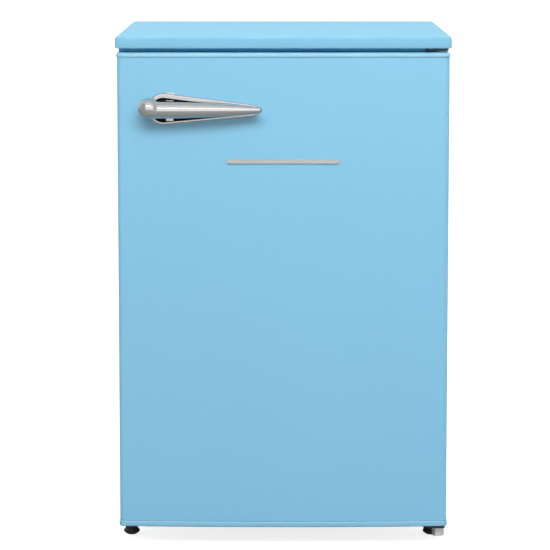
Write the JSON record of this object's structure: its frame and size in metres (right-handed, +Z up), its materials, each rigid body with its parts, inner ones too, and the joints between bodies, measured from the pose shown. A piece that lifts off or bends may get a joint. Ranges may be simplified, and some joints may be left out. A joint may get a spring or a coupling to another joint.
{
  "type": "table-top refrigerator",
  "caption": "Sky-blue retro table-top refrigerator: bowed door, chrome lever handle, flat worktop, inner ice box, glass shelves, crisper drawer, door bins and rear condenser.",
  "frame": {"origin": "on the floor, at the middle of the overall width and depth", "axes": "+Z up, +X to the right seen from the front, +Y to the back; the door faces -Y"},
  "size_m": [0.545, 0.6341, 0.84],
  "materials": {
    "blue_enamel": "satin",
    "blue_plastic": "gloss",
    "white_plastic": "satin",
    "clear_plastic": "gloss",
    "shelf_glass": "gloss",
    "chrome": "polished",
    "zinc_steel": "satin",
    "black_steel": "satin",
    "aluminium": "satin",
    "copper": "satin",
    "black_plastic": "matte",
    "white_rubber": "matte",
    "black_rubber": "matte",
    "foam": "matte"
  },
  "bodies": {
    "cabinet": {"side_panel_left": "blue_enamel", "side_panel_right": "blue_enamel", "top_panel": "blue_enamel", "front_crossbar": "blue_enamel", "upper_hinge_bracket": "blue_enamel", "worktop": "blue_plastic", "inner_liner": "white_plastic", "icebox_frame": "white_plastic", "shelf_trims": "white_plastic", "thermostat_housing": "white_plastic", "door_switch_housing": "white_plastic", "evaporation_tray": "white_plastic", "drain_tube": "white_plastic", "lamp_cover": "clear_plastic", "shelf_glass_lower": "shelf_glass", "shelf_glass_upper": "shelf_glass", "crisper_cover": "shelf_glass", "lamp_bulb": "shelf_glass", "back_panel": "zinc_steel", "base_plate": "zinc_steel", "compressor_carrier": "zinc_steel", "upper_hinge_pin": "zinc_steel", "lower_hinge_pin": "zinc_steel", "hinge_screws": "zinc_steel", "rear_screws": "zinc_steel", "compressor_bolts": "zinc_steel", "compressor": "black_steel", "condenser_tube": "black_steel", "condenser_wires": "black_steel", "condenser_brackets": "black_steel", "lower_hinge_bracket": "black_steel", "icebox_shell": "aluminium", "refrigerant_tubes": "copper", "filter_dryer": "copper", "rear_feet": "black_plastic", "terminal_cover": "black_plastic", "compressor_grommets": "black_rubber", "cord_gland": "black_rubber", "insulation_foam": "foam"},
    "door": {"door_skin": "blue_enamel", "door_foam": "foam", "door_liner": "white_plastic", "door_top_cap": "blue_plastic", "door_bottom_cap": "blue_plastic", "door_gasket": "white_rubber", "hinge_bushes": "white_plastic", "handle_base": "chrome", "handle_lever": "chrome", "handle_posts": "chrome", "badge_bar": "chrome"},
    "bin_lower": {"door_bin_lower": "clear_plastic"},
    "bin_middle": {"door_bin_middle": "clear_plastic"},
    "bin_upper": {"door_bin_upper": "clear_plastic", "egg_tray": "white_plastic"},
    "ice_flap": {"icebox_flap": "white_plastic"},
    "crisper": {"crisper_drawer": "clear_plastic"},
    "knob": {"thermostat_knob": "white_plastic"},
    "switch_plunger": {"door_switch_plunger": "white_plastic"},
    "foot_left": {"front_foot_left": "black_plastic"},
    "foot_right": {"front_foot_right": "black_plastic"}
  },
  "joints": [
    {"name": "door_hinge", "type": "hinge", "parent": "cabinet", "child": "door", "pos_m": [0.257, -0.24, 0.0325], "axis": [0, 0, 1], "range_deg": [0, 120]},
    {"name": "bin_lower_lift", "type": "slide", "parent": "door", "child": "bin_lower", "axis": [0, 0, 1], "range_m": [0, 0.02]},
    {"name": "bin_middle_lift", "type": "slide", "parent": "door", "child": "bin_middle", "axis": [0, 0, 1], "range_m": [0, 0.02]},
    {"name": "bin_upper_lift", "type": "slide", "parent": "door", "child": "bin_upper", "axis": [0, 0, 1], "range_m": [0, 0.02]},
    {"name": "ice_flap_hinge", "type": "hinge", "parent": "cabinet", "child": "ice_flap", "pos_m": [0, -0.136, 0.76], "axis": [-1, 0, 0], "range_deg": [0, 80]},
    {"name": "crisper_slide", "type": "slide", "parent": "cabinet", "child": "crisper", "axis": [0, -1, 0], "range_m": [0, 0.02]},
    {"name": "thermostat_turn", "type": "hinge", "parent": "cabinet", "child": "knob", "pos_m": [0.204, -0.008, 0.622], "axis": [-1, 0, 0], "range_deg": [0, 270]},
    {"name": "door_switch_press", "type": "slide", "parent": "cabinet", "child": "switch_plunger", "axis": [0, 1, 0], "range_m": [0, 0.004], "stiffness_N_per_m": 60},
    {"name": "foot_left_turn", "type": "hinge", "parent": "cabinet", "child": "foot_left", "pos_m": [-0.2549, -0.174, 0], "axis": [0, 0, 1], "continuous": true},
    {"name": "foot_right_turn", "type": "hinge", "parent": "cabinet", "child": "foot_right", "pos_m": [0.2495, -0.174, 0], "axis": [0, 0, 1], "continuous": true}
  ]
}
